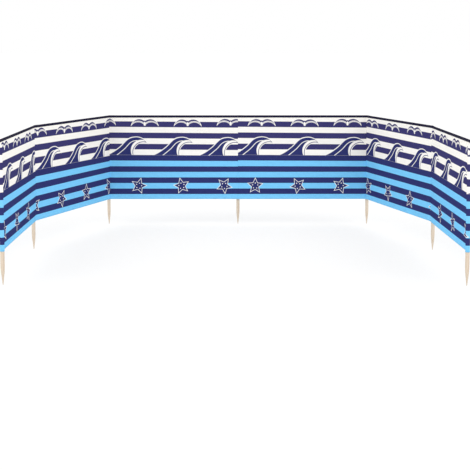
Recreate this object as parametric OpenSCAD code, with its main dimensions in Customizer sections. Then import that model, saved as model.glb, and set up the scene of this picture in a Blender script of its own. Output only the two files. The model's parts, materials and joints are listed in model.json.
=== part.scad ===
// Beach windbreak: bays of taut striped cloth on pointed round wooden poles.
// The poles stand in an arc, and the cloth is pinched into a pocket round each of them.
// The origin is the blunt tip of the middle pole, +X to the right and +Y away from the sheltered side.

/* [Poles] */
// Diameter of a round pole
pole_d = 35; // [24:1:45]
// Length of a pole from its tip to its flat top
pole_length = 1150; // [900:10:1500]
// Length of the tapered point
point_length = 125; // [80:5:180]
// Diameter of the blunt tip
tip_d = 6; // [3:0.5:12]
// Radius of the soft shoulder above the point
shoulder_r = 600; // [200:50:1500]
// Chamfer round the flat top of a pole
top_chamfer = 2; // [0.5:0.5:4]

/* [Cloth] */
// Width of one bay
bay_w = 1400; // [800:10:2000]
// Height of the cloth's lower edge above the tips
foot_h = 280; // [240:5:400]
// Thickness of the modelled cloth
cloth_t = 1.5; // [0.8:0.1:2.5]
// Height of the dark binding along the top edge
binding_h = 25; // [10:1:40]
// Thickness of the binding on each face of the cloth
binding_t = 0.8; // [0.4:0.1:1.5]
// Height of the turned-up hem along the bottom edge
hem_h = 25; // [15:1:40]
// Thickness of the folds that make the hem
hem_t = 2; // [1:0.1:3]

/* [Pockets] */
// Room between a pole and its pocket
pocket_gap = 0.2; // [0.1:0.05:0.3]
// Depth of the flat stitched seam that closes a pocket
seam_depth = 6; // [5:0.5:12]
// Distance over which the seam widens to the round of the pocket
pocket_taper = 6; // [3:0.5:15]
// Height over which a pocket is flattened shut and folded aside above its pole
crimp_h = 50; // [30:5:80]

/* [Set-out] */
// Turn of the cloth at the second pole
bend_2 = 23; // [0:1:60]
// Turn of the cloth at the third pole
bend_3 = 67; // [0:1:80]
// Turn of the cloth at the middle pole
bend_4 = 0; // [0:1:60]
// Turn of the cloth at the fifth pole
bend_5 = 72; // [0:1:80]
// Turn of the cloth at the sixth pole
bend_6 = 17; // [0:1:60]

/* [Hidden] */
$fn = 64;
// Facets round the flattened top of a pocket
crimp_facets = 32;
// Room left between neighbouring pieces of cloth
sewing_gap = 0.2;
// Thickness of the slices that the flattened top is drawn between
slice = 1;
// Step by which the flattened top lies inside the faces of its pocket
crimp_inset = 0.3;
// Steps along the curve of the shoulder
shoulder_steps = 5;

pole_r = pole_d / 2;
tip_r = tip_d / 2;
point_angle = atan((pole_r - tip_r) / point_length);
shoulder_rise = shoulder_r * tan(point_angle / 2);

cloth_top = pole_length + crimp_h;
middle_pole = 4;
last_pole = 7;
last_bay = 6;

pocket_in = pole_r + pocket_gap;
pocket_out = pocket_in + cloth_t;
flare_y = pocket_out + pocket_taper;
pocket_reach = flare_y + seam_depth;
flare_span = sqrt(cloth_t * cloth_t + flare_y * flare_y);
// Bearing, seen from the pole, of the point where the straight flare meets the round
flare_bearing = acos(pocket_out / flare_span) - atan(flare_y / cloth_t);
flare_length = sqrt(flare_span * flare_span - pocket_out * pocket_out);
half_loop = flare_length + pocket_out * (90 - flare_bearing) * PI / 180;

wood = [0.92, 0.84, 0.73];
cloth_blue = [0.42, 0.60, 0.80];
pocket_blue = [0.30, 0.36, 0.58];
binding_navy = [0.16, 0.15, 0.25];
hem_cyan = [0.46, 0.78, 0.96];

// Turn of the cloth at pole i, none at the two ends
function turn(i) = [0, bend_2, bend_3, bend_4, bend_5, bend_6, 0][i - 1];

// Heading of bay k from left to right: the two middle bays lean equally towards the sheltered side
function heading(k) =
    k == middle_pole ? -turn(middle_pole) / 2
    : k > middle_pole ? heading(k - 1) - turn(k)
    : heading(k + 1) + turn(k + 1);

function along(angle) = [cos(angle), sin(angle)];

// An end bay gives up the width of its end pocket
function run(k) = k == 1 || k == last_bay ? bay_w - pocket_out - pocket_reach : bay_w;

// Seam line at pole i, where the faces of the bays meet
function seam(i) =
    i == middle_pole ? [0, -pocket_reach]
    : i > middle_pole ? seam(i - 1) + run(i - 1) * along(heading(i - 1))
    : seam(i + 1) - run(i) * along(heading(i));

// Direction from a seam to its pole: behind the cloth, or straight on past an end
function pocket_heading(i) =
    i == 1 ? heading(1) + 180
    : i == last_pole ? heading(last_bay)
    : (heading(i - 1) + heading(i)) / 2 + 90;

function pole_at(i) = seam(i) + pocket_reach * along(pocket_heading(i));

// Direction in which the flattened top of a pocket lies, seen from its pole with the seam towards -Y:
// folded along the back of the next bay, or straight on past an end
function fold_heading(i) = i == 1 || i == last_pole ? 90 : -turn(i) / 2;

// Distance from the seam line at which a strip lying front_t before the bay's face clears the seam
function clear_of_seam(i, front_t) =
    i == 1 || i == last_pole ? sewing_gap
    : (cloth_t + front_t * sin(turn(i) / 2)) / cos(turn(i) / 2) + sewing_gap;

// Half outline of a pole, with a curved shoulder between the point and the shaft
function shoulder_point(a) = [
    pole_r - shoulder_r + shoulder_r * cos(a),
    point_length + shoulder_rise - shoulder_r * sin(a)
];

module pole_outline() {
    polygon(concat(
        [[0, 0], [tip_r, 0]],
        [for (s = [shoulder_steps:-1:0]) shoulder_point(point_angle * s / shoulder_steps)],
        [[pole_r, pole_length - top_chamfer], [pole_r - top_chamfer, pole_length], [0, pole_length]]
    ));
}

module pole(i) {
    color(wood)
    translate(pole_at(i))
    rotate_extrude()
    pole_outline();
}

// A strip of cloth along bay k, from front_t before its face to back_t behind it
module bay_strip(k, front_t, back_t, low_z, high_z) {
    left = clear_of_seam(k, front_t);
    right = clear_of_seam(k + 1, front_t);
    translate(seam(k))
    rotate(heading(k))
    translate([left, -front_t, low_z])
    cube([run(k) - left - right, front_t + back_t, high_z - low_z]);
}

module bay_cloth(k) {
    color(cloth_blue)
    bay_strip(k, 0, cloth_t, foot_h, cloth_top - binding_t);
}

// The binding is folded over the cloth's top edge
module top_binding(k) {
    color(binding_navy)
    difference() {
        bay_strip(k, binding_t, cloth_t + binding_t, cloth_top - binding_h, cloth_top);
        bay_strip(k, 0, cloth_t, cloth_top - 2 * binding_h, cloth_top - binding_t);
    }
}

// The hem is folded up behind the cloth's bottom edge
module bottom_hem(k) {
    color(hem_cyan)
    bay_strip(k, -cloth_t, cloth_t + hem_t, foot_h, foot_h + hem_h);
}

// Round of a pocket with its straight flares, seen from above with the seam towards -Y
module pocket_round() {
    flare = pocket_out * along(flare_bearing);
    circle(pocket_out);
    polygon([[cloth_t, -flare_y], flare, [-flare.x, flare.y], [-cloth_t, -flare_y]]);
}

module pocket_hollow() {
    flare = pocket_in * along(flare_bearing);
    circle(pocket_in);
    polygon([[0, pocket_in / sin(flare_bearing)], flare, [-flare.x, flare.y]]);
}

// Two layers of cloth lying flat together, each of thickness t
module flat_layers(t, low_y, high_y) {
    translate([-t, low_y])
    square([2 * t, high_y - low_y]);
}

// The pocket flattened shut above its pole and folded aside
module pocket_crimp(i) {
    layer_t = cloth_t - crimp_inset;
    neck_y = -flare_y - crimp_inset;
    hull($fn = crimp_facets) {
        translate([0, 0, pole_length])
        linear_extrude(slice) {
            circle(pocket_out - crimp_inset);
            flat_layers(layer_t, neck_y, 0);
        }
        translate([0, neck_y, cloth_top - slice])
        rotate(fold_heading(i) - 90)
        linear_extrude(slice)
        flat_layers(layer_t, 0, half_loop);
    }
}

module pole_pocket(i) {
    color(pocket_blue)
    translate(pole_at(i))
    rotate(pocket_heading(i) - 90) {
        translate([0, 0, foot_h])
        linear_extrude(pole_length + slice / 2 - foot_h)
        difference() {
            pocket_round();
            pocket_hollow();
        }
        translate([0, 0, foot_h])
        linear_extrude(cloth_top - foot_h)
        flat_layers(cloth_t, -pocket_reach, -flare_y);
        pocket_crimp(i);
    }
}

pole(1);  // pole_1
pole(2);  // pole_2
pole(3);  // pole_3
pole(4);  // pole_4
pole(5);  // pole_5
pole(6);  // pole_6
pole(7);  // pole_7
bay_cloth(1);  // bay_cloth_1
bay_cloth(2);  // bay_cloth_2
bay_cloth(3);  // bay_cloth_3
bay_cloth(4);  // bay_cloth_4
bay_cloth(5);  // bay_cloth_5
bay_cloth(6);  // bay_cloth_6
pole_pocket(1);  // pole_pocket_1
pole_pocket(2);  // pole_pocket_2
pole_pocket(3);  // pole_pocket_3
pole_pocket(4);  // pole_pocket_4
pole_pocket(5);  // pole_pocket_5
pole_pocket(6);  // pole_pocket_6
pole_pocket(7);  // pole_pocket_7
top_binding(1);  // top_binding_1
top_binding(2);  // top_binding_2
top_binding(3);  // top_binding_3
top_binding(4);  // top_binding_4
top_binding(5);  // top_binding_5
top_binding(6);  // top_binding_6
bottom_hem(1);  // bottom_hem_1
bottom_hem(2);  // bottom_hem_2
bottom_hem(3);  // bottom_hem_3
bottom_hem(4);  // bottom_hem_4
bottom_hem(5);  // bottom_hem_5
bottom_hem(6);  // bottom_hem_6
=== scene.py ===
# %% [markdown]
# # A beach windbreak
# Six bays of striped cloth stand on seven pointed poles. The solids that carry the part come from its
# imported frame, in metres. This lesson dresses them: it cuts the cloth, folds it round the poles, binds and
# hems it, sews it, and gives the wood its grain.

# %% Load the frame
import json
import math

import bpy
import numpy as np
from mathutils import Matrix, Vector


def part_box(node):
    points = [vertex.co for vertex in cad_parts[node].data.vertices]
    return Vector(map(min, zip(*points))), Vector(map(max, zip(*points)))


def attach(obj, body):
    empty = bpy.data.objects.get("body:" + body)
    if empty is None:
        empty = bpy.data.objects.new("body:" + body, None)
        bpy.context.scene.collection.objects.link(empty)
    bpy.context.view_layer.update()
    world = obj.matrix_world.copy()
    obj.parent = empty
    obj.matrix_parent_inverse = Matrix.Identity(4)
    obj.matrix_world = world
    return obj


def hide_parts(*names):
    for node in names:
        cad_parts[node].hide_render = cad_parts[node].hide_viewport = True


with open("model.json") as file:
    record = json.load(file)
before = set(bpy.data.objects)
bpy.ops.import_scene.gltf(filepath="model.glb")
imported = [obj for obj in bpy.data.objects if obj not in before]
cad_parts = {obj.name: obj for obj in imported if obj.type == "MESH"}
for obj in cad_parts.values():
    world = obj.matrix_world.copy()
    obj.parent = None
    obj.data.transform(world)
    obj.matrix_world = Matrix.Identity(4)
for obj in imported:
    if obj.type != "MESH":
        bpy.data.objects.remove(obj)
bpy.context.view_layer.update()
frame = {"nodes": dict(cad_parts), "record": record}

nodes = frame["nodes"]

# %% [markdown]
# ## Sizes
# The cloth has to fit the solids to a fraction of a millimetre. All its sizes could be typed in again, but
# heights and the pole's radius are read from the frame, so the dressing can't drift from it. Only what no
# box shows is written down: the width of a bay, and how the cloth is pinched together behind it.

# %% Sizes
LAST_POLE = 7
LAST_BAY = 6
MIDDLE = 4
POLES = range(1, LAST_POLE + 1)
BAYS = range(1, LAST_BAY + 1)
END_POLES = (1, LAST_POLE)
BAY = 1.400
POCKET_WALL = 0.0017
FLARE_OUT = 0.006
SEAM_DEPTH = 0.006

pole_low, pole_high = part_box("pole_4")
POLE_R = (pole_high[0] - pole_low[0]) / 2
POLE_TOP = pole_high[2]
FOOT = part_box("bay_cloth_4")[0][2]
CLOTH_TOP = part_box("top_binding_4")[1][2]
CLOTH_H = CLOTH_TOP - FOOT
POCKET_OUT = POLE_R + POCKET_WALL
FLARE = POCKET_OUT + FLARE_OUT
REACH = FLARE + SEAM_DEPTH
print(f"cloth: {CLOTH_H:.3f} m high, {FOOT:.3f} m above the tips, on {POLE_R * 2000:.0f} mm poles")

# %% [markdown]
# ## Where the poles stand
# The cloth is one long strip, so its place is a walk: start at the middle pole, go one bay, turn, go on.
# Seven poles could be placed by hand too, but a walk keeps every bay as long as it was cut. The turns are
# the windbreak's set-out, as in the solids, and the walk is tested against the pole tips in the record.

# %% Set-out
TURNS = {1: 0, 2: 23, 3: 67, 4: 0, 5: 72, 6: 17, 7: 0}


def along(angle):
    """Plan direction of an angle in degrees."""
    return np.array([math.cos(math.radians(angle)), math.sin(math.radians(angle))])


def heading(bay):
    """Direction of a bay from left to right, in degrees."""
    if bay == MIDDLE:
        return -TURNS[MIDDLE] / 2
    if bay > MIDDLE:
        return heading(bay - 1) - TURNS[bay]
    return heading(bay + 1) + TURNS[bay + 1]


def run(bay):
    """Length of a bay from seam to seam: an end bay gives up the width of its end pocket."""
    return BAY - POCKET_OUT - REACH if bay in (1, LAST_BAY) else BAY


def seam(pole):
    """Where the faces of two bays meet in front of a pole."""
    if pole == MIDDLE:
        return np.array([0.0, -REACH])
    if pole > MIDDLE:
        return seam(pole - 1) + run(pole - 1) * along(heading(pole - 1))
    return seam(pole + 1) - run(pole) * along(heading(pole))


def pocket_heading(pole):
    """Direction from a seam to its pole: behind the cloth, or straight on past an end."""
    if pole == 1:
        return heading(1) + 180
    if pole == LAST_POLE:
        return heading(LAST_BAY)
    return (heading(pole - 1) + heading(pole)) / 2 + 90


def pole_axis(pole):
    return seam(pole) + REACH * along(pocket_heading(pole))


tips = {m["name"]: m["pos_m"] for m in frame["record"]["mounts"]}
off = max(np.abs(pole_axis(p) - tips[f"pole_{p}_tip"][:2]).max() for p in POLES)
print(f"set-out: poles within {off * 1000:.3f} mm of the record's tips")

# %% [markdown]
# ## The camera
# The portrait is taken from about ten metres, a little above the cloth and square to the middle bays. The
# camera could be tipped down until the fence fits, but then its uprights would lean. One that looks almost
# straight ahead and is shifted down keeps them upright, as a shop's picture does. Its place, tilt and lens
# were found by fitting the corners of the bays to the picture.

# %% Camera
CAMERA_PLACE = (-0.0659, -10.4410, 1.9627)
CAMERA_TILT_DOWN = 5.725
CAMERA_YAW = -0.185
FOCAL_PIXELS = 960.0
PICTURE_PIXELS = 470
SENSOR_MM = 36.0
SHIFT_DOWN = -0.20


def put_in_scene(name, data):
    """A new object, linked to the scene."""
    made = bpy.data.objects.new(name, data)
    bpy.context.scene.collection.objects.link(made)
    return made


camera = put_in_scene("camera", bpy.data.cameras.new("camera"))
camera.location = CAMERA_PLACE
camera.rotation_euler = (math.radians(90 - CAMERA_TILT_DOWN), 0, math.radians(CAMERA_YAW))
camera.data.sensor_width = SENSOR_MM
camera.data.lens = FOCAL_PIXELS / PICTURE_PIXELS * SENSOR_MM
camera.data.shift_y = SHIFT_DOWN
bpy.context.scene.camera = camera
bpy.context.scene.view_settings.view_transform = "Standard"
print(f"camera: {camera.data.lens:.1f} mm lens")

# %% [markdown]
# ## Shader maths as plain sums
# A finish is a sum over a surface: how far is this point from a stripe's edge, is it inside a curl? Wiring
# such sums by hand takes dozens of nodes, so this small class wraps a socket and lets Python's own operators
# add them. Any other node comes from its one method, which sets the node's settings before its sockets.


# %% Terms
class Term:
    """A socket in a material's tree that can stand in a sum."""

    def __init__(self, tree, socket=None):
        self.tree = tree
        self.socket = socket

    def node(self, kind, settings=None, inputs=None, out=0):
        """Adds a node of any kind: its settings first, then the values or links of its sockets."""
        made = self.tree.nodes.new("ShaderNode" + kind)
        for name, value in (settings or {}).items():
            setattr(made, name, value)
        for name, value in (inputs or {}).items():
            if isinstance(value, Term):
                self.tree.links.new(value.socket, made.inputs[name])
            else:
                made.inputs[name].default_value = value
        return Term(self.tree, made.outputs[out] if made.outputs else None)

    def math(self, operation, *others, clamp=False):
        values = dict(enumerate((self, *others)))
        return self.node("Math", {"operation": operation, "use_clamp": clamp}, values)

    def __add__(self, other):
        return self.math("ADD", other)

    __radd__ = __add__

    def __sub__(self, other):
        return self.math("SUBTRACT", other)

    def __rsub__(self, other):
        return self.node("Math", {"operation": "SUBTRACT"}, {0: other, 1: self})

    def __mul__(self, other):
        return self.math("MULTIPLY", other)

    __rmul__ = __mul__

    def __truediv__(self, other):
        return self.math("DIVIDE", other)

    def __rtruediv__(self, other):
        return self.node("Math", {"operation": "DIVIDE"}, {0: other, 1: self})

    def __abs__(self):
        return self.math("ABSOLUTE")

    def __neg__(self):
        return 0.0 - self


print("terms ready")

# %% [markdown]
# ## Colours and surfaces
# Print is ink laid over ground, layer on layer. A Math node would turn those colours grey, so they go
# through Mix nodes. Every finish begins as an empty material and ends in the standard surface. These few
# helpers save wiring that anew for each of them.


# %% Colours and surfaces
def blend(below, above, mask):
    """Lays one colour over another where the mask is 1."""
    inputs = {0: mask, 6: below, 7: above}
    return mask.node("Mix", {"data_type": "RGBA"}, inputs, out=2)


def parts_of(vector):
    """The three numbers of a vector."""
    split = vector.node("SeparateXYZ", inputs={0: vector}).socket.node
    return [Term(vector.tree, socket) for socket in split.outputs]


def emptied(block):
    """Clears the nodes of a material or world, and gives a bare term to start its sums from."""
    block.use_nodes = True
    block.node_tree.nodes.clear()
    return Term(block.node_tree)


def new_finish(name):
    material = bpy.data.materials.new(name)
    return material, emptied(material)


def surface(start, **sockets):
    """Ends a finish with the standard surface: plain numbers are set on its sockets, terms are linked."""
    inputs = {name.replace("_", " "): value for name, value in sockets.items()}
    shader = start.node("BsdfPrincipled", inputs=inputs)
    start.node("OutputMaterial", inputs={"Surface": shader})


print("finishes can be mixed")

# %% [markdown]
# ## The print: stripes
# The cloth carries bands of one height. From the bottom they run pale blue and navy in turn, and above the
# middle white takes the place of the pale blue. A picture of them would blur up close. A triangle wave of
# the height gives the distance to the nearest band edge instead, and a distance makes a soft-edged mask at
# any scale.

# %% Stripes
BAND = 0.0612
INK_EDGE = 0.0012
SKY_FROM = 7.95 * BAND
NAVY = (0.041, 0.038, 0.139, 1)
SEA_NAVY = (0.027, 0.033, 0.139, 1)
WHITE = (0.920, 0.889, 0.836, 1)
SEA_BLUE = (0.190, 0.570, 0.900, 1)


def soft(distance):
    """1 inside, where the distance is negative, and 0 outside."""
    return distance.math("MULTIPLY_ADD", -0.5 / INK_EDGE, 0.5, clamp=True)


def stripes(v):
    """The banded ground of the print, by height on the cloth."""
    wave = (v / BAND + 0.5).math("PINGPONG", 1.0)
    navy_here = soft((wave - 0.5) * BAND)
    sky = v.math("GREATER_THAN", SKY_FROM)
    ground = blend(SEA_BLUE, WHITE, sky)
    navy = blend(SEA_NAVY, NAVY, sky)
    return blend(ground, navy, navy_here)


print(f"stripes: {CLOTH_H / BAND:.1f} bands of {BAND * 1000:.0f} mm")

# %% [markdown]
# ## The print: shapes as distances
# Over the stripes lies a plain seaside print. Its motifs could be cut out of mesh or painted, but here each
# is a signed distance, below zero inside. A minimum joins two shapes, a maximum keeps what they share, an
# outline is the same distance less its width, and one drawing repeats all along the cloth.


# %% Shapes
def least(first, *others):
    """Distance to the nearest of several shapes: all of them together."""
    for other in others:
        first = first.math("MINIMUM", other)
    return first


def most(first, *others):
    """Distance to what several shapes have in common."""
    for other in others:
        first = first.math("MAXIMUM", other)
    return first


def length_of(x, y):
    return (x * x + y * y).math("SQRT")


def circle(x, y, centre_x, centre_y, radius):
    return length_of(x - centre_x, y - centre_y) - radius


def repeat(u, pitch):
    """Distance along the cloth from the middle of the repeat that a point is in, and the repeat's number."""
    number = (u / pitch).math("FLOOR")
    return u - (number + 0.5) * pitch, number


def outlined(ground, shape, edge, ink, marks, clip=1.0):
    """Lays a motif on the ground: a white edge, the ink inside it, and white marks on the ink."""
    ground = blend(ground, WHITE, soft(shape - edge) * clip)
    ground = blend(ground, ink, soft(shape) * clip)
    return blend(ground, WHITE, soft(marks) * clip)


print("shapes ready")

# %% [markdown]
# ## The print: waves
# A row of rolling waves stands on the navy band where white turns to blue. A wave could be one drawn curve,
# but circles take fewer sums: one bitten out of another leaves a hooked crest. It leans on a swell with the
# slope of a bell, and a smooth minimum rounds the place where they meet.

# %% Waves
# Each circle is its centre along the cloth, its centre above the sea and its radius.
CREST = (-0.012, 0.043, 0.100)
HOLLOW = (0.045, 0.020, 0.084)
FOAM = (0.030, 0.036, 0.087)
LINE_STOP = (0.020, 0.020, 0.098)
WAVE_PITCH = 0.500
WAVE_SHIFT = 0.075
WAVE_SIZE = 1.36
SEA_LEVEL = 8 * BAND
SWELL_TOP, SWELL_END = -0.005, -0.06
SWELL_LENGTH, SWELL_HEIGHT, SWELL_SUNK = 0.170, 0.165, 0.025
SWELL_STEEP = 0.72
SWELL_ROUND, CREST_ROUND = 0.06, 0.04
FOAM_GAP, FOAM_INSET = 0.005, 0.002
LINE_DEPTH, LINE_HALF, LINE_INSET = 0.030, 0.0026, 0.008
OUTLINE = 0.006


def waves(ground, u, v):
    x, _ = repeat(u, WAVE_PITCH)
    x, y = (x - WAVE_SHIFT) / WAVE_SIZE, (v - SEA_LEVEL) / WAVE_SIZE
    crest, hollow = circle(x, y, *CREST), circle(x, y, *HOLLOW)
    behind = (x - SWELL_TOP).math("MINIMUM", 0.0) / SWELL_LENGTH
    rise = (-behind * behind).math("EXPONENT") * SWELL_HEIGHT - SWELL_SUNK
    swell = (y - rise) * SWELL_STEEP
    ended = swell.math("SMOOTH_MAX", x - SWELL_END, SWELL_ROUND)
    body = most(crest.math("SMOOTH_MIN", ended, CREST_ROUND), -hollow)
    foam = most(circle(x, y, *FOAM), FOAM_GAP - hollow, body + FOAM_INSET)
    ridge = abs(crest.math("SMOOTH_MIN", swell, CREST_ROUND) + LINE_DEPTH) - LINE_HALF
    line = most(ridge, -circle(x, y, *LINE_STOP), body + LINE_INSET)
    return outlined(ground, body, OUTLINE, SEA_NAVY, least(foam, line), clip=soft(-y))


print(f"waves: one every {WAVE_PITCH} m")

# %% [markdown]
# ## The print: gulls
# Gulls glide along the pale band at the top. A wing is a crescent, again one circle less another. Two wings
# could be drawn, but the distance from the gull's middle without its sign mirrors one, as a folded paper
# does. Each gull flies a little higher or lower than the last, so that the row doesn't look stamped.

# %% Gulls
ARCH = (0.060, -0.052, 0.086)
ARCH_BITE = (0.072, -0.088, 0.096)
ARCH_PALE = (0.070, -0.082, 0.099)
WING_LOW, WING_INSET = -0.036, 0.003
# Each oval is its width over its height, its centre's height and half its height.
GULL_BODY = (0.50, -0.006, 0.026)
GULL_BELLY = (0.42, -0.014, 0.020)
GULL_PITCH = 0.467
GULL_SHIFT = 0.1
GULL_HEIGHT = 0.850
GULL_BOB, GULL_BOB_TURN = 0.006, 2.1


def oval(x, y, narrow, centre_y, radius):
    return length_of(x / narrow, y - centre_y) - radius


def gulls(ground, u, v):
    x, number = repeat(u + GULL_SHIFT, GULL_PITCH)
    y = v - GULL_HEIGHT - (number * GULL_BOB_TURN).math("COSINE") * GULL_BOB
    side = abs(x)
    wing = most(circle(side, y, *ARCH), -circle(side, y, *ARCH_BITE), WING_LOW - y)
    gull = least(wing, oval(x, y, *GULL_BODY))
    under = most(gull + WING_INSET, circle(side, y, *ARCH_PALE))
    return outlined(ground, gull, OUTLINE, NAVY, least(under, oval(x, y, *GULL_BELLY)))


print(f"gulls: one every {GULL_PITCH} m")

# %% [markdown]
# ## The print: sea stars
# Sea stars lie in the blue. Ten edges could be drawn, but one slanted line is enough: the angle round the
# star is folded ten times, as paper is before a single cut. Each star is turned further than the last.

# %% Sea stars
STAR_PITCH = 0.467
STAR_SHIFT = 0.17
STAR_HEIGHT = 2.5 * BAND
STAR_POINT = 0.068
STAR_NOTCH = 0.032
STAR_ROUND = 0.005
STAR_OUTLINE = 0.005
STAR_TURN = 0.5
HALF_ARM = math.pi / 5
SPOT_OUT, SPOT_R = 0.030, 0.0055


def sea_stars(ground, u, v):
    x, number = repeat(u + STAR_SHIFT, STAR_PITCH)
    y = v - STAR_HEIGHT
    arm = (x.math("ARCTAN2", y) + number * STAR_TURN).math("PINGPONG", HALF_ARM)
    reach = length_of(x, y)
    out, aside = reach * arm.math("COSINE"), reach * arm.math("SINE")
    run_out = STAR_POINT - STAR_NOTCH * math.cos(HALF_ARM)
    run_up = STAR_NOTCH * math.sin(HALF_ARM)
    edge = math.hypot(run_out, run_up)
    star = (out - STAR_POINT) * (run_up / edge) + aside * (run_out / edge) - STAR_ROUND
    spots = circle(out, aside, SPOT_OUT, 0.0, SPOT_R)
    return outlined(ground, star, STAR_OUTLINE, SEA_NAVY, spots)


print(f"sea stars: one every {STAR_PITCH} m")

# %% [markdown]
# ## Printed cloth
# Beach cloth is plain-woven polyester: matt, with fine crossing threads, thicker ones along it here and
# there, specks of bare thread in the ink that are also lightened as a painted glint, and a print that shows
# a little paler on the back. A strict grid of threads makes a ripple pattern from afar, so the weave is a
# noise that is drawn out both ways. The print reads a map in metres called Cloth, and two values on the
# points: how far across its bay a point is, and whether it is on the back. It hangs a little low at the
# right of each bay, above the middle, as it does where a strip was cut slightly off the thread.

# %% Cloth finish
IN_HEM = 0.006
PRINT_DROP = 0.010
DROP_FROM, DROP_TO = 0.30, 0.48
BACK_FADE = 0.16
BACK_GREY = (0.62, 0.66, 0.72, 1)
SLUBS = (5, 170)
THREADS_ALONG, THREADS_UP = (45, 900), (900, 45)
TONE_LEAST, TONE_SLUB, TONE_WEAVE = 0.884, 0.05, 0.09
ROUGH_LEAST, ROUGH_SLUB, ROUGH_WEAVE = 0.70, 0.15, 0.05
# how high the weave stands where threads show bare through the ink with a painted glint on them, and how
# much they are lightened
BARE_AND_SHOW_FROM, BARE_AND_SHOW_TO, BARE_THREAD_AND_GLINT = 1.0, 1.3, 0.013
WEAVE_DEPTH = 0.5
WEAVE_BUMP = {"Strength": 0.4, "Distance": 0.0008}
CLOTH_SHINE = 0.02


def drawn_noise(places, rates, **settings):
    """A noise stretched into threads or grain, by places on a surface and its repeats a metre there."""
    start = places[0]
    scaled = {i: place * rate for i, (place, rate) in enumerate(zip(places, rates))}
    vector = start.node("CombineXYZ", inputs=scaled)
    return start.node("TexNoise", inputs={"Vector": vector, "Scale": 1.0, **settings})


def printed_cloth(name):
    material, start = new_finish(name)
    u, v, _ = parts_of(start.node("UVMap", {"uv_map": "Cloth"}))
    across = start.node("Attribute", {"attribute_name": "across"}, out="Fac")
    upper = start.node("MapRange", inputs={0: v, 1: DROP_FROM, 2: DROP_TO})
    printed_v = v + IN_HEM + PRINT_DROP * (across - 0.5) * upper
    ground = stripes(printed_v)
    for motif in (waves, gulls, sea_stars):
        ground = motif(ground, u, printed_v)
    back = start.node("Attribute", {"attribute_name": "back"}, out="Fac")
    faded = blend(ground, BACK_GREY, back * BACK_FADE)
    slub = drawn_noise((u, v), SLUBS, Detail=2.0)
    weave = drawn_noise((u, v), THREADS_ALONG, Detail=0.0) + drawn_noise((u, v), THREADS_UP, Detail=0.0)
    tone = slub * TONE_SLUB + weave * TONE_WEAVE + TONE_LEAST
    shade = {"data_type": "RGBA", "blend_type": "MULTIPLY"}
    inked = start.node("Mix", shade, {0: 1.0, 6: faded, 7: tone}, out=2)
    # where the threads stand highest they are lightened towards white: bare thread in the ink, and a painted
    # glint on it
    bare = start.node("MapRange", inputs={0: weave, 1: BARE_AND_SHOW_FROM, 2: BARE_AND_SHOW_TO})
    coloured = blend(inked, WHITE, bare * BARE_THREAD_AND_GLINT)
    bump = start.node("Bump", inputs={"Height": slub + weave * WEAVE_DEPTH, **WEAVE_BUMP})
    rough = slub * ROUGH_SLUB + weave * ROUGH_WEAVE + ROUGH_LEAST
    surface(start, Base_Color=coloured, Roughness=rough, Normal=bump, Specular_IOR_Level=CLOTH_SHINE)
    return material


cloth_finish = printed_cloth("printed cloth")
print("cloth finish:", len(cloth_finish.node_tree.nodes), "nodes")

# %% [markdown]
# ## Binding tape and thread
# The top edge is bound with a dark ribbed tape, and everything is sewn with a twisted thread. Their ribs and
# strands could be meshed, but they are a millimetre or less. A wave across the tape and a fine noise on the
# thread show them just as well.

# %% Tape and thread finishes
BINDING_NAVY = (0.013, 0.011, 0.034, 1)
TAPE_LIGHT = (0.022, 0.019, 0.048, 1)
THREAD_PALE = (0.72, 0.78, 0.84, 1)
THREAD_NAVY = (0.030, 0.027, 0.062, 1)
RIB = 0.0022
RIB_BUMP = {"Strength": 0.4, "Distance": 0.0003}
MOTTLE = (60, 60)
MOTTLE_SHADE, RIB_SHADE = 0.6, 0.2
TAPE_ROUGH, THREAD_ROUGH, ROUGH_SPREAD = 0.7, 0.5, 0.2
TAPE_SHINE = 0.1
TWIST = {"Scale": 900.0, "Detail": 1.0}
THREAD_SHADE = 0.6


def ribbed_tape(name):
    material, start = new_finish(name)
    u, v, _ = parts_of(start.node("UVMap", {"uv_map": "Cloth"}))
    rib = (u * (math.tau / RIB)).math("SINE")
    mottle = drawn_noise((u, v), MOTTLE)
    colour = blend(BINDING_NAVY, TAPE_LIGHT, mottle * MOTTLE_SHADE + rib * RIB_SHADE)
    bump = start.node("Bump", inputs={"Height": rib, **RIB_BUMP})
    rough = TAPE_ROUGH + mottle * ROUGH_SPREAD
    surface(start, Base_Color=colour, Roughness=rough, Normal=bump, Specular_IOR_Level=TAPE_SHINE)
    return material


def twisted_thread(name, colour):
    material, start = new_finish(name)
    place = start.node("TexCoord", out="Object")
    twist = start.node("TexNoise", inputs={"Vector": place, **TWIST})
    darker = tuple(THREAD_SHADE * c for c in colour[:3]) + (1,)
    rough = THREAD_ROUGH + twist * ROUGH_SPREAD
    surface(start, Base_Color=blend(darker, colour, twist), Roughness=rough)
    return material


tape_finish = ribbed_tape("binding tape")
navy_thread = twisted_thread("navy thread", THREAD_NAVY)
pale_thread = twisted_thread("pale thread", THREAD_PALE)
print(f"finishes: {tape_finish.name}, {navy_thread.name} and {pale_thread.name}")

# %% [markdown]
# ## Pole wood
# The poles are turned from a pale, straight-grained softwood, sanded and left bare. Their solids are right
# as they are, so only a finish is made. Year rings could be drawn round an axis. Grain runs up the pole,
# though, and a noise squeezed across it and stretched along it looks like rings cut lengthways at once. The
# point is cut across them, so it is a little darker and rougher, with fine turning marks round it.

# %% Wood finish
WOOD_PALE = (0.695, 0.590, 0.475, 1)
WOOD_RING = (0.555, 0.430, 0.308, 1)
WOOD_TIP = (0.51, 0.41, 0.31, 1)
RINGS = (160, 160, 3.5)
FIBRES = (1400, 1400, 40)
RING_FROM, RING_TO = 0.50, 0.66
RING_SHADE, FIBRE_SHADE = 0.55, 0.25
POINT_END = 0.16
POINT_SHADE, POINT_ROUGH = 0.30, 0.1
TURNING = 0.0035
TURNING_SHADE, TURNING_DEPTH = 0.1, 0.5
FIBRE_BUMP = {"Strength": 0.3, "Distance": 0.0004}
WOOD_ROUGH = 0.5
WOOD_SHINE = 0.35


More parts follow.
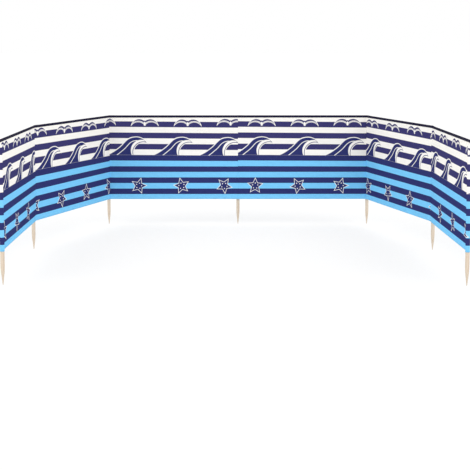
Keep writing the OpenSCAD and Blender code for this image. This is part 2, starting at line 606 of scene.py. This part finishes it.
def pole_wood(name):
    material, start = new_finish(name)
    place = parts_of(start.node("TexCoord", out="Object"))
    ring = drawn_noise(place, RINGS, Detail=3.0, Distortion=0.6)
    edges = {0: ring, 1: RING_FROM, 2: RING_TO}
    line = start.node("MapRange", {"interpolation_type": "SMOOTHSTEP"}, edges)
    fibre = drawn_noise(place, FIBRES, Detail=1.0)
    wood = blend(WOOD_PALE, WOOD_RING, line * RING_SHADE + fibre * FIBRE_SHADE)
    height = place[2]
    turning = (height * (math.tau / TURNING)).math("SINE")
    point = 1 - (height / POINT_END).math("MINIMUM", 1.0)
    wood = blend(wood, WOOD_TIP, point * (POINT_SHADE + TURNING_SHADE * turning))
    relief = fibre + turning * point * TURNING_DEPTH
    bump = start.node("Bump", inputs={"Height": relief, **FIBRE_BUMP})
    rough = WOOD_ROUGH + fibre * ROUGH_SPREAD + point * POINT_ROUGH
    surface(start, Base_Color=wood, Roughness=rough, Normal=bump, Specular_IOR_Level=WOOD_SHINE)
    return material


wood_finish = pole_wood("pole wood")
for pole in POLES:
    for slot in nodes[f"pole_{pole}"].material_slots:
        slot.material = wood_finish
print("wood on", len(POLES), "poles")

# %% [markdown]
# ## A strip swept along a path
# Every soft piece here is a strip: a cross-section carried along a path on the ground. A curve with a bevel
# would sweep it too, but couldn't change the section on the way or keep the map in metres. This helper takes
# rows of points, each row a closed cross-section, joins neighbouring rows with quads and closes both ends,
# so each piece is a solid without a hole.


# %% Strip mesh
def face_corners(grid, cap):
    """A grid of map places, one for each row and ring point, spread over the corners of a strip's faces."""
    sides = np.stack([grid[:-1, :-1], grid[1:, :-1], grid[1:, 1:], grid[:-1, 1:]], axis=2)
    ends = [grid[0][cap], grid[-1][cap[:, ::-1]]]
    return np.concatenate([part.reshape(-1, 2) for part in (sides, *ends)])


def strip_mesh(name, points, maps, finish, extra=None, sheet=False):
    """points[row, ring] joined into a solid: rings are closed, and the first and last rows are capped.

    Each map[row, ring + 1] repeats the ring's first place at its end. A sheet's ring goes up one side and
    down the other, so its ends are closed rung by rung, as a ladder. Any other end is one face.
    """
    rows, ring = points.shape[:2]
    index = np.arange(rows * ring).reshape(rows, ring)
    after = np.roll(index, -1, axis=1)
    quads = np.stack([index[:-1], index[1:], after[1:], after[:-1]], axis=-1).reshape(-1, 4)
    rung = np.arange(ring // 2 - 1)
    ladder = np.stack([rung, rung + 1, ring - 2 - rung, ring - 1 - rung], axis=1)
    cap = ladder if sheet else np.arange(ring)[None, :]
    faces = quads.tolist() + index[0][cap].tolist() + index[-1][cap[:, ::-1]].tolist()
    mesh = bpy.data.meshes.new(name)
    mesh.from_pydata(points.reshape(-1, 3).tolist(), [], faces)
    for key, grid in maps.items():
        corners = face_corners(grid, cap).astype(np.float32)
        mesh.uv_layers.new(name=key).data.foreach_set("uv", corners.ravel())
    for key, values in (extra or {}).items():
        layer = mesh.attributes.new(key, "FLOAT", "POINT")
        layer.data.foreach_set("value", np.asarray(values, np.float32).ravel())
    mesh.materials.append(finish)
    mesh.shade_smooth()
    return put_in_scene(name, mesh)


print("strip helper ready")

# %% [markdown]
# ## The path of a bay
# Seen from above, a bay's face is a straight line that turns back at each seam, round a small radius, into
# the narrow neck of the pocket. The two bays at a pole touch face to face in that neck. At an end pole the
# cloth runs straight on to the pocket. A bevel could round a sharp corner later, but with the arc in the
# path each point also knows how far it is along the cut cloth, which the print needs.

# %% Bay path
SEAM_BEND = 0.0030
BEND_STEPS = 6
TAIL = 0.0055
COLUMN = 0.012


def path_length(path):
    """Distance along a path at each of its points."""
    steps = np.linalg.norm(np.diff(path, axis=0), axis=1)
    return np.concatenate([[0], np.cumsum(steps)])


def unit(vectors):
    return vectors / np.linalg.norm(vectors, axis=1, keepdims=True)


def right_of(steps):
    """Plan directions square to the steps of a path, to the right of them."""
    return unit(np.stack([steps[:, 1], -steps[:, 0]], axis=1))


def seam_corner(pole, bay):
    """From the neck of the pocket round to the bay's face: points going away from the pole's seam."""
    out = along(heading(bay)) * (1 if bay == pole else -1)
    start = seam(pole)
    if pole in END_POLES:
        return [start - out * (REACH - FLARE)]
    neck = along(pocket_heading(pole))
    rear = along(heading(bay) + 90)
    opening = math.acos(float(np.dot(out, neck)))
    tangent = SEAM_BEND / math.tan(opening / 2)
    centre = start + tangent * out + SEAM_BEND * rear
    first = start + tangent * neck - centre
    last = start + tangent * out - centre
    turn = math.pi - opening
    points = [start + TAIL * neck]
    for step in range(BEND_STEPS + 1):
        done = turn * step / BEND_STEPS
        round_bend = math.sin(turn - done) * first + math.sin(done) * last
        points.append(centre + round_bend / math.sin(turn))
    return points


def bay_path(bay):
    """Plan points of a bay's face from left to right, which way it faces and the cloth's length there."""
    left = seam_corner(bay, bay)
    right = seam_corner(bay + 1, bay)[::-1]
    count = int(np.linalg.norm(right[0] - left[-1]) / COLUMN)
    straight = [left[-1] + (right[0] - left[-1]) * i / count for i in range(1, count)]
    path = np.array(left + straight + right)
    return path, right_of(np.gradient(path, axis=0)), path_length(path)


for bay in BAYS:
    length = bay_path(bay)[2]
    print(f"bay {bay}: {len(length)} columns, {length[-1]:.3f} m of cloth")

# %% [markdown]
# ## How the cloth stands
# The cloth is pulled tight between the poles, but it isn't a board. Long ridges run from pole to pole,
# because only that way is it stretched, and short puckers stand along the sewn seams. A cloth simulation
# could find them, but they are a few millimetres high and held on all four sides. Sums of waves give them
# at once and alike on every run, and the tape and hem can ask for the same shape.

# %% Ripples
RIPPLE_SEED = 100
RIDGES = 7
RIDGE = 0.0022
RIDGE_EACH = RIDGE / 3
RIDGE_UP, RIDGE_LEAN = (14, 42), (-2.2, 2.2)
PUCKER = 0.0013
PUCKER_UP, PUCKER_REACH, PUCKER_FAN = 86, 0.09, 0.8
SWAY, SWAY_UP = 2.1, 9
SEAM_HOLD = 0.05
TAPE_HOLD, TAPE_REACH = 0.75, 0.06


def ripple(bay, length, z):
    """Forward stand of the cloth of a bay for arrays of places along it and heights."""
    rng = np.random.default_rng(RIPPLE_SEED + bay)
    total = length.max()
    s, h = np.meshgrid(length, z - FOOT, indexing="ij")
    edge = np.minimum(s, total - s)
    hold = 1 - np.exp(-((edge / SEAM_HOLD) ** 2))
    hold *= 1 - TAPE_HOLD * np.exp(-(((CLOTH_H - h) / TAPE_REACH) ** 2))
    stand = np.zeros_like(s)
    middle = np.sqrt(np.clip(np.sin(math.pi * s / total), 0, 1))
    for _ in range(RIDGES):
        up, lean, phase = rng.uniform(*RIDGE_UP), rng.uniform(*RIDGE_LEAN), rng.uniform(0, math.tau)
        stand += RIDGE_EACH * np.sin(up * h + lean * s + phase) * middle
    for place in (s, total - s):
        phase = rng.uniform(0, math.tau)
        fanned = PUCKER_UP * h / (1 + PUCKER_FAN * place)
        fold = np.sin(fanned + SWAY * np.sin(SWAY_UP * h) + phase)
        stand += PUCKER * fold * np.exp(-place / PUCKER_REACH)
    return stand * hold


print("ripples:", RIDGE * 1000, "mm ridges and", PUCKER * 1000, "mm puckers")

# %% [markdown]
# ## The loop round a pole
# Behind each seam the cloth goes round its pole: back along the neck, out over a straight flare, round, and
# back again. A plain tube would look alike from afar, but it would lack the neck. The loop is drawn once,
# seen from above, and its length is what every pocket takes out of the long strip of cloth. So it comes
# before the bays, which have to know where on the print they begin.

# %% Loop
NECK_GAP = 0.0001
POCKET_EASE = 0.0003
LOOP_STEPS = 30
FLARE_STEPS = 5


def pocket_round():
    """Inside of a pocket seen from above: pole at the origin, seam towards -Y, from the left neck round."""
    radius = POLE_R + POCKET_EASE
    span = math.hypot(NECK_GAP, FLARE)
    bearing = math.acos(radius / span) - math.atan(FLARE / NECK_GAP)
    right = [(NECK_GAP, -REACH + TAIL), (NECK_GAP, -FLARE)]
    touch = radius * np.array([math.cos(bearing), math.sin(bearing)])
    for step in range(1, FLARE_STEPS):
        right.append(np.array(right[1]) + (touch - right[1]) * step / FLARE_STEPS)
    for angle in np.linspace(bearing, math.pi / 2, LOOP_STEPS):
        right.append((radius * math.cos(angle), radius * math.sin(angle)))
    right = np.array(right)
    left = right * [-1, 1]
    return np.concatenate([left, right[-2::-1]])


loop = pocket_round()
loop_length = path_length(loop)
LOOP = float(loop_length[-1])
print(f"loop: {LOOP * 1000:.0f} mm of cloth round each pole")

# %% [markdown]
# ## Bay cloth
# Each bay is a thin closed sheet: a face, a back, and the cut edges between. A plane with a Solidify
# modifier would give one too, but its back has to know that it is the back. So a ring runs up the face and
# down the back at each column, and the strip helper sweeps it from pole to pole. A second map, OFBake,
# gives half a square to each of them, so that the print keeps its sharpness when the part is exported.

# %% Bays
CLOTH_T = 0.0010
BINDING_T = 0.0007
HEM_ROUND = 0.0012
ROW = 0.012
BAKE_MARGIN = 0.005


def stood_up(plan, heights):
    """Plan points with their heights added."""
    return np.concatenate([plan, np.broadcast_to(heights, plan.shape[:-1])[..., None]], axis=-1)


def cloth_map(places, heights, sheet=False):
    """Where the points of a strip lie on the cut cloth, in metres: a sheet's back repeats its face."""
    grid = np.stack(np.broadcast_arrays(places[:, None], heights - FOOT), axis=-1)
    back = [grid[:, ::-1]] if sheet else []
    return np.concatenate([grid, *back, grid[:, :1]], axis=1)


def bake_map(columns, rows):
    """Places in a square: the face in its lower half, the back in its upper half."""
    spread = np.linspace(2 * BAKE_MARGIN, 1 - 2 * BAKE_MARGIN, columns)
    half = np.linspace(BAKE_MARGIN, 0.5 - BAKE_MARGIN, rows)
    tall = np.concatenate([half, 0.5 + half, [1.0]])
    return np.stack(np.broadcast_arrays(spread[:, None], tall), axis=-1)


def bay_sheet(bay, z, begins):
    """The cloth of a bay, and its length; begins is where it starts on the whole strip."""
    path, face, length = bay_path(bay)
    front = path[:, None] + face[:, None] * ripple(bay, length, z)[..., None]
    back = front - face[:, None] * CLOTH_T
    points = np.concatenate([stood_up(front, z), stood_up(back, z)[:, ::-1]], axis=1)
    shape = points.shape[:2]
    sides = np.broadcast_to(np.repeat([0.0, 1.0], len(z)), shape)
    extra = {"across": np.broadcast_to((length / length[-1])[:, None], shape), "back": sides}
    maps = {"Cloth": cloth_map(begins + length, z, sheet=True), "OFBake": bake_map(len(path), len(z))}
    piece = strip_mesh(f"bay_{bay}_cloth", points, maps, cloth_finish, extra, sheet=True)
    return piece, float(length[-1])


sheet_z = np.linspace(FOOT + HEM_ROUND, CLOTH_TOP - BINDING_T, int(CLOTH_H / ROW) + 1)
bays, flat_length, cloth_at = {}, {}, {}
cloth_used = 0.0
for bay in BAYS:
    cloth_at[bay] = cloth_used
    bays[bay], flat_length[bay] = bay_sheet(bay, sheet_z, cloth_used)
    cloth_used += flat_length[bay] + LOOP
print("bays:", sum(len(p.data.polygons) for p in bays.values()), "faces")

# %% [markdown]
# ## The pressed top of a pocket
# Above a pole's flat top the two layers of its pocket are pressed together and folded aside along the back
# of the next bay, where they don't show from the front. Past an end they lie straight on. A disc of cloth
# could close the round, but pressing it shut is simpler, in the workroom and here: round and flat outlines
# are equally long, so that the one can slide into the other by height.

# %% Pressed tops
FOLD_BEHIND = 0.001
LAYER_TURN = 0.003
FOLD_AT = np.array([0.0, -REACH + TAIL + FOLD_BEHIND])


def fold_heading(pole):
    """Direction of a flattened top, seen from its pole with the seam towards -Y."""
    return 90 if pole in END_POLES else -TURNS[pole] / 2


def on_fold(pole, outward, sideways):
    """Plan points of the flattened top: so far out from the neck, and so far towards the bay beside it."""
    out = along(fold_heading(pole))
    side = np.array([out[1], -out[0]])
    return FOLD_AT + np.outer(outward, out) + np.outer(sideways, side)


def pocket_flat(pole):
    """The loop pressed flat: first its left half goes out, then its right half comes back beside it."""
    outward = LOOP / 2 - np.abs(loop_length - LOOP / 2)
    sideways = NECK_GAP * np.clip((loop_length - LOOP / 2) / LAYER_TURN, -1, 1)
    return on_fold(pole, outward, sideways)


for pole in POLES:
    print(f"pocket {pole}: its top is folded to {fold_heading(pole):.1f} degrees")

# %% [markdown]
# ## Pole pockets
# Each pocket carries the loop up its pole and turns it into the pressed outline above. Blender could blend
# two shapes with shape keys, but here the share of each goes by height, so one loop over the heights is
# enough, and it can add a slight puff. Behind a seam the pocket's outside is the back of the cloth, at an
# end it is the face.

# %% Pockets
PUFF_SEED = 200
PUFF = 0.0005
PUFF_UP, PUFF_ROUND, PUFF_FADE = 23, 60, 61
CRIMP_FLAT = CLOTH_TOP - 0.0245
POCKET_ROWS, CRIMP_ROWS = 45, 22
pocket_z = np.concatenate([
    np.linspace(FOOT, POLE_TOP, POCKET_ROWS),
    np.linspace(POLE_TOP, CLOTH_TOP - BINDING_T, CRIMP_ROWS)[1:],
])


def smooth(share):
    """From 0 to 1 with a gentle start and end."""
    share = np.clip(share, 0, 1)
    return share * share * (3 - 2 * share)


def placed(pole, local):
    """Turns plan points of a pocket to where its pole stands."""
    angle = math.radians(pocket_heading(pole) - 90)
    turn = np.array([[math.cos(angle), math.sin(angle)], [-math.sin(angle), math.cos(angle)]])
    return local @ turn + pole_axis(pole)


def strip_places(pole):
    """Where a pocket's loop lies on the long strip, how far across a bay's print, and which way it faces."""
    if pole == 1:
        return cloth_at[1] - loop_length, np.zeros(len(loop)), 0.0
    if pole == LAST_POLE:
        return cloth_used - loop_length, np.ones(len(loop)), 0.0
    return cloth_at[pole] - LOOP + loop_length, 1 - loop_length / LOOP, 1.0


def pocket_plans(pole):
    """Inside and outside of a pocket seen from above, at each height."""
    rng = np.random.default_rng(PUFF_SEED + pole)
    phase = rng.uniform(0, math.tau, 2)
    flat = pocket_flat(pole)
    around = np.sin(math.pi * loop_length / LOOP) ** 2
    for z in pocket_z:
        share = smooth((z - POLE_TOP) / (CRIMP_FLAT - POLE_TOP))
        inner = loop * (1 - share) + flat * share
        out = -right_of(np.gradient(inner, axis=0))
        puff = np.sin(PUFF_UP * z + PUFF_ROUND * loop_length + phase[0])
        puff = puff * np.sin(PUFF_FADE * z + phase[1])
        stand = (PUFF * (1 + puff) * around * (1 - share))[:, None]
        yield placed(pole, inner + out * stand), placed(pole, inner + out * (stand + CLOTH_T))


def pocket(pole):
    plans = np.array(list(pocket_plans(pole)))
    inner, outer = stood_up(plans.transpose(1, 2, 0, 3), pocket_z)
    points = np.concatenate([inner, outer[:, ::-1]], axis=1)
    shape = points.shape[:2]
    places, across, outside_back = strip_places(pole)
    back = np.repeat([1 - outside_back, outside_back], len(pocket_z))
    extra = {"across": np.broadcast_to(across[:, None], shape), "back": np.broadcast_to(back, shape)}
    maps = {"Cloth": cloth_map(places, pocket_z, sheet=True)}
    return strip_mesh(f"pocket_{pole}_cloth", points, maps, cloth_finish, extra, sheet=True)


pockets = {pole: pocket(pole) for pole in POLES}
print("pockets:", sum(len(p.data.polygons) for p in pockets.values()), "faces")

# %% [markdown]
# ## Stitches
# A row of machine stitches is what makes a strip read as sewn. Each stitch is a short grain of thread, thick
# in the middle and drawn in at its ends. An Array modifier along a curve could lay the row, but thousands of
# grains are quicker as sums: the points of one grain are copied to every place in a single step.

# %% Stitches
STITCH = 0.0042
THREAD_R = 0.00045
GRAIN_RINGS, GRAIN_SIDES = 4, 5
GRAIN_END = 0.12


def stitch_grain():
    """Points of one stitch along X, ring by ring."""
    places = np.linspace(-0.5, 0.5, GRAIN_RINGS)
    thick = THREAD_R * np.sqrt(np.clip(1 - (2 * places) ** 2, GRAIN_END, 1))
    angle = np.arange(GRAIN_SIDES) * math.tau / GRAIN_SIDES
    grain = np.zeros((GRAIN_RINGS, GRAIN_SIDES, 3))
    grain[..., 0] = places[:, None] * STITCH
    grain[..., 1] = thick[:, None] * np.cos(angle)
    grain[..., 2] = thick[:, None] * np.sin(angle)
    return grain


def stitch_row(centres, directions, faces):
    """Vertices and faces of a row of stitches that lie on a surface, along it and out from it."""
    grain = stitch_grain().reshape(-1, 3)
    axes = (directions, np.cross(faces, directions), faces)
    points = centres[:, None] + sum(grain[None, :, i:i + 1] * axis[:, None] for i, axis in enumerate(axes))
    index = np.arange(len(grain)).reshape(GRAIN_RINGS, GRAIN_SIDES)
    after = np.roll(index, -1, axis=1)
    quads = np.stack([index[:-1], after[:-1], after[1:], index[1:]], axis=-1).reshape(-1, 4).tolist()
    one = quads + [index[0][::-1].tolist(), index[-1].tolist()]
    all_faces = [[v + n * len(grain) for v in f] for n in range(len(centres)) for f in one]
    return points.reshape(-1, 3), all_faces


print("one stitch:", stitch_grain().size // 3, "points")

# %% [markdown]
# ## Sewing
# Real stitches hold a piece together, so here they become part of the mesh of the piece that they hold, in
# a thread of their own. Loose rows would look the same, but each would be one more piece to carry. A row is
# given as a line in space and the way that its surface faces.

# %% Sewing
STITCH_GAP = 0.0012
LOOK_AHEAD = 1e-4


def at_places(places, length, values):
    """Points or directions at places along a path of a given length."""
    return np.stack([np.interp(places, length, values[:, i]) for i in range(3)], axis=1)


def stitched_line(line, out, sign=1):
    """Centres, directions and faces of the stitches along a line."""
    length = path_length(line)
    spacing = STITCH + STITCH_GAP
    places = np.arange(spacing, length[-1] - spacing / 2, spacing)
    centres = at_places(places, length, line)
    directions = unit(at_places(places + LOOK_AHEAD, length, line) - centres)
    faces = unit(at_places(places / length[-1], np.linspace(0, 1, len(line)), out))
    return centres, directions, faces * sign


def sew(piece, rows, finish):
    """Adds rows of stitches to a piece, as more solids of its own mesh in a thread of their own."""
    mesh = piece.data
    mesh.materials.append(finish)
    thread = len(mesh.materials) - 1
    points, faces, base = [], [], 0
    for row in rows:
        more, quads = stitch_row(*row)
        faces += [[v + base for v in f] for f in quads]
        points.append(more)
        base += len(more)
    stitches = bpy.data.meshes.new(mesh.name + "_stitches")
    stitches.from_pydata(np.concatenate(points).tolist(), [], faces)
    for slot in (None,) * thread + (finish,):
        stitches.materials.append(slot)
    stitches.polygons.foreach_set("material_index", np.full(len(stitches.polygons), thread, np.int32))
    stitches.shade_smooth()
    helper = put_in_scene(stitches.name, stitches)
    with bpy.context.temp_override(active_object=piece, selected_editable_objects=[piece, helper]):
        bpy.ops.object.join()
    return sum(len(centres) for centres, _, _ in rows)


print("stitches every", round((STITCH + STITCH_GAP) * 1000, 1), "mm")

# %% [markdown]
# ## A strip along the edge of a bay
# Binding and hem both follow the edge of the cloth and are sewn through it. They could be pressed onto it
# with a Shrinkwrap modifier, but the ripples are known as a sum, so a section can stand exactly on the cloth
# at every column. It runs from the middle of one seam bend to the middle of the other, where the strip of
# the next bay begins.


# %% Edge strips
def kept_columns(bay):
    """Columns of a bay's path from the middle of one seam bend to the middle of the other."""
    half_bend = 1 + BEND_STEPS // 2
    left = 0 if bay == 1 else half_bend
    right = 0 if bay == LAST_BAY else half_bend
    return slice(left, len(bay_path(bay)[0]) - right)


def swept(name, bay, section, finish, back):
    """Carries a section, a ring of places forward of the cloth's face and heights, along a bay."""
    path, face, length = bay_path(bay)
    keep = kept_columns(bay)
    forward, heights = section.T
    forward = forward + ripple(bay, length, heights)[keep]
    points = stood_up(path[keep, None] + face[keep, None] * forward[..., None], heights)
    shape = points.shape[:2]
    maps = {"Cloth": cloth_map(cloth_at[bay] + length[keep], heights)}
    extra = {"across": np.full(shape, 0.5), "back": np.full(shape, back)}
    return strip_mesh(name, points, maps, finish, extra)


def face_line(bay, z, forward):
    """A line along a bay at one height, forward of the cloth's face, and the way it faces."""
    path, face, length = bay_path(bay)
    keep = kept_columns(bay)
    stand = ripple(bay, length, np.array([z]))
    return stood_up(path + face * (stand + forward), z)[keep], stood_up(face, 0.0)[keep]


def sew_through(piece, bay, z, front_at, rear_at, thread):
    """Rows of stitches on both sides of a strip, and how many stitches they are."""
    front, out = face_line(bay, z, front_at)
    rear, _ = face_line(bay, z, rear_at)
    return sew(piece, [stitched_line(front, out), stitched_line(rear, out, -1)], thread)


print("edge strips follow", len(BAYS), "bays")

# %% [markdown]
# ## Top binding
# A dark tape is folded over the top edge of each bay and sewn through. A dark band in the print would look
# alike from the front, but flat from above. So the tape has a section of its own, an upside-down U that hugs
# the cloth, with a rounded fold on top.

# %% Bindings
BINDING_H = CLOTH_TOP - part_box("top_binding_4")[0][2]
BINDING_SEW = CLOTH_TOP - (BINDING_H - 0.0035)
FOLD_STEPS = 6
EASE = 0.00005


def binding_section():
    """Ring of the folded tape: outside up and over, inside back."""
    inner_front, inner_back = EASE, -CLOTH_T - EASE
    low = CLOTH_TOP - BINDING_H
    centre, inner_r = (inner_front + inner_back) / 2, (inner_front - inner_back) / 2
    outer_r = inner_r + BINDING_T
    fold_z = CLOTH_TOP - outer_r
    turn = np.linspace(0, math.pi, FOLD_STEPS)
    over = [(centre + outer_r * math.cos(a), fold_z + outer_r * math.sin(a)) for a in turn]
    under = [(centre - inner_r * math.cos(a), fold_z + inner_r * math.sin(a)) for a in turn]
    outer = [(centre + outer_r, low)] + over + [(centre - outer_r, low)]
    inner = [(inner_back, low)] + under + [(inner_front, low)]
    return np.array(outer + inner)


bindings = {}
for bay in BAYS:
    bindings[bay] = swept(f"bay_{bay}_binding", bay, binding_section(), tape_finish, back=0.0)
    sewn = sew_through(bindings[bay], bay, BINDING_SEW, BINDING_T, -CLOTH_T - BINDING_T, navy_thread)
print("bindings:", sewn, "stitches on each")

# %% [markdown]
# ## Bottom hem
# The bottom edge is turned up twice behind the cloth and sewn. From the front only the row of stitches
# shows; from behind there is a soft raised band. The sheet itself could be bent round, but the layers of a
# hem lie so close that one section shows them as well: a J, round under the edge and up the back.

# %% Hems
HEM_H = 0.025
HEM_T = 0.0017
HEM_SEW = FOOT + 0.021
HEM_LIP = HEM_T / 2
HEM_LIP_ROUND = 0.3
HEM_TUCK = 0.0004


def hem_section():
    """Ring of the folded hem: under the edge, up the back, over the lip and down beside the cloth."""
    inner_back = -CLOTH_T - EASE
    outer_back = inner_back - HEM_T
    radius = -outer_back / 2
    turn = np.linspace(0, -math.pi, FOLD_STEPS + 2)
    under = [(-radius + radius * math.cos(a), FOOT + radius + radius * math.sin(a)) for a in turn]
    top, rounded = FOOT + HEM_H, HEM_LIP * HEM_LIP_ROUND
    back = [(outer_back, top - HEM_LIP), (outer_back + rounded, top - rounded)]
    back += [(outer_back + HEM_LIP, top), (inner_back, top)]
    return np.array(under + back + [(inner_back, FOOT + radius), (0.0, FOOT + radius + HEM_TUCK)])


hems = {}
for bay in BAYS:
    hems[bay] = swept(f"bay_{bay}_hem", bay, hem_section()[::-1], cloth_finish, back=1.0)
    sewn = sew_through(hems[bay], bay, HEM_SEW, 0.0, -CLOTH_T - HEM_T, pale_thread)
print("hems:", sewn, "stitches on each")

# %% [markdown]
# ## Tops and seams of the pockets
# The pressed top of each pocket is bound with the same tape and sewn through. The tape comes out of the neck
# and turns a sharp corner onto the fold. Two pieces could meet there, but a tape is one length, so its
# section is mitred: at the corner every point moves along the line that halves the turn. Two more rows of
# stitches run up the neck and hold the pole in.

# %% Pocket tops
CAP_FROM = -REACH + 0.002
CAP_STEPS = 13
CAP_LIFT = 0.0002
CAP_NIP = 0.6
CAP_SEW_FROM, CAP_SEW_SHORT = 0.006, 0.001
NECK_SEW = -FLARE - 0.0003
NECK_SEW_LOW = FOOT + 0.004


def mitred(path):
    """Sideways directions along a plan path, lengthened at its corners so that a strip keeps its width."""
    right = right_of(np.diff(path, axis=0))
    before, after = np.vstack([right[:1], right]), np.vstack([right, right[-1:]])
    return (before + after) / (1 + np.sum(before * after, axis=1, keepdims=True))


def tape_cap(pole):
    """A folded tape over a pocket's flattened top: an upside-down U swept from the neck along the fold."""
    half = NECK_GAP + CLOTH_T
    reach = LOOP / 2 + CLOTH_T
    outward = np.concatenate([np.linspace(0, reach, CAP_STEPS), [reach + BINDING_T]])
    path = np.vstack([[[0.0, CAP_FROM]], on_fold(pole, outward, np.zeros(len(outward)))])
    forward, heights = binding_section().T
    wide = (forward + CLOTH_T / 2) * (half / (CLOTH_T / 2 + EASE))
    wide = np.sign(wide) * np.minimum(np.abs(wide), half + BINDING_T)
    side = mitred(path)
    side[-1] *= CAP_NIP
    plan = placed(pole, path[:, None] + wide[:, None] * side[:, None])
    maps = {"Cloth": cloth_map(path_length(path), heights)}
    return strip_mesh(f"pocket_{pole}_binding", stood_up(plan, heights + CAP_LIFT), maps, tape_finish)


def standing(pole, plan, heights, out):
    """A line of stitches through plan points of a pocket at given heights, facing out in plan."""
    line = stood_up(placed(pole, plan), heights)
    turned = placed(pole, out[None, :]) - pole_axis(pole)
    return stitched_line(line, stood_up(np.repeat(turned, len(line), axis=0), 0.0))


def cap_rows(pole):
    """Stitches along both sides of the tape on the fold."""
    side = on_fold(pole, np.zeros(1), np.ones(1))[0] - FOLD_AT
    outward = np.array([CAP_SEW_FROM, LOOP / 2 - CAP_SEW_SHORT])
    for sign in (1, -1):
        plan = on_fold(pole, outward, np.full(2, sign * (NECK_GAP + CLOTH_T + BINDING_T)))
        yield standing(pole, plan, np.full(2, BINDING_SEW), sign * side)


def neck_rows(pole):
    """Stitches up both sides of the neck."""
    for sign in (1, -1):
        plan = np.tile([[sign * (NECK_GAP + CLOTH_T), NECK_SEW]], (2, 1))
        yield standing(pole, plan, [NECK_SEW_LOW, POLE_TOP], np.array([sign, 0.0]))


pocket_tops = {}
for pole in POLES:
    pocket_tops[pole] = tape_cap(pole)
    capped = sew(pocket_tops[pole], list(cap_rows(pole)), navy_thread)
    sewn = sew(pockets[pole], list(neck_rows(pole)), pale_thread)
print("pockets:", sewn, "stitches up each neck and", capped, "on each top")

# %% [markdown]
# ## Hanging each piece on the body
# Every piece rides on the windbreak's one body and stands for the solid that it covers, which is hidden.
# Each bay is a rectangle of cloth stretched between two poles, and each pocket a strip folded round one.
# The binding and hem of a bay cover solids of their own; the tape on a pocket's top covers none.


# %% Declarations
def declare(piece, slot, *covers):
    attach(piece, "root")
    if covers:
        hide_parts(*covers)


for bay in BAYS:
    declare(bays[bay], "bay_cloth", f"bay_cloth_{bay}")
    declare(bindings[bay], "binding_tape", f"top_binding_{bay}")
    declare(hems[bay], "hem_cloth", f"bottom_hem_{bay}")
for pole in POLES:
    declare(pockets[pole], "pocket_cloth", f"pole_pocket_{pole}")
    declare(pocket_tops[pole], "binding_tape")
print("declared:", len(bays) + len(pockets), "sheets")

# %% [markdown]
# ## Floor
# A shop's picture shows a thing on white, with a breath of shadow below. More light would whiten the floor,
# but the cloth with it. So the floor is plain and pale, and what the camera sees of it is mixed with white
# light by the Light Path node. The light that falls on the part stays as it is.

# %% Floor
FLOOR_SIZE = 400.0
FLOOR_TONE = (0.90, 0.90, 0.90, 1)
FLOOR_BLANK = 0.7
PLAIN_WHITE = (1, 1, 1, 1)


def seen_plainly(start):
    """1 for what the camera sees, straight or in a reflection, and 0 for light that falls on things."""
    rays = start.node("LightPath").socket.node
    kinds = ("Camera", "Glossy", "Transmission")
    return most(*(Term(start.tree, rays.outputs[f"Is {kind} Ray"]) for kind in kinds))


floor_mesh = bpy.data.meshes.new("floor")
half = FLOOR_SIZE / 2
corners = [(-half, -half, 0), (half, -half, 0), (half, half, 0), (-half, half, 0)]
floor_mesh.from_pydata(corners, [], [(0, 1, 2, 3)])
floor = put_in_scene("floor", floor_mesh)
floor_finish, start = new_finish("studio floor")
lit = start.node("BsdfDiffuse", inputs={"Color": FLOOR_TONE})
white = start.node("Emission", inputs={"Color": PLAIN_WHITE, "Strength": 1.0})
blanked = start.node("MixShader", inputs={0: seen_plainly(start) * FLOOR_BLANK, 1: lit, 2: white})
start.node("OutputMaterial", inputs={"Surface": blanked})
floor_mesh.materials.append(floor_finish)
print(f"floor: {FLOOR_SIZE:.0f} m wide, {FLOOR_BLANK:.0%} blanked")

# %% [markdown]
# ## Light
# The bays face many ways, and in the picture all are lit alike. One lamp would leave half of them in shade.
# A white surrounding, as in a white tent, lights from all sides instead, and two wide suns, at the front
# left and the front right, give the folds some shape. A sun also lights the floor evenly to its far end.

# %% Light
SKY_STRENGTH = 1.05
SUNS_FROM = {"right": (0.10, -0.07, 0.11), "left": (-0.10, -0.07, 0.11)}
SUN_SPREAD = 35.0


def facing(direction):
    """Turns a lamp so that its light comes from a direction."""
    x, y, z = direction
    return (math.atan2(math.hypot(x, y), z), 0, math.atan2(y, x) + math.pi / 2)


world = bpy.data.worlds.new("white tent")
bpy.context.scene.world = world
start = emptied(world)
strength = seen_plainly(start) * (1 - SKY_STRENGTH) + SKY_STRENGTH
back_light = start.node("Background", inputs={"Color": PLAIN_WHITE, "Strength": strength})
start.node("OutputWorld", inputs={"Surface": back_light})

for side, direction in SUNS_FROM.items():
    sun = put_in_scene(f"sun_{side}", bpy.data.lights.new(f"sun_{side}", "SUN"))
    sun.data.energy = math.pi * math.sqrt(sum(x * x for x in direction))
    sun.data.angle = math.radians(SUN_SPREAD)
    sun.rotation_euler = facing(direction)
    print(f"{sun.name}: {sun.data.energy:.2f}, sky {SKY_STRENGTH}")
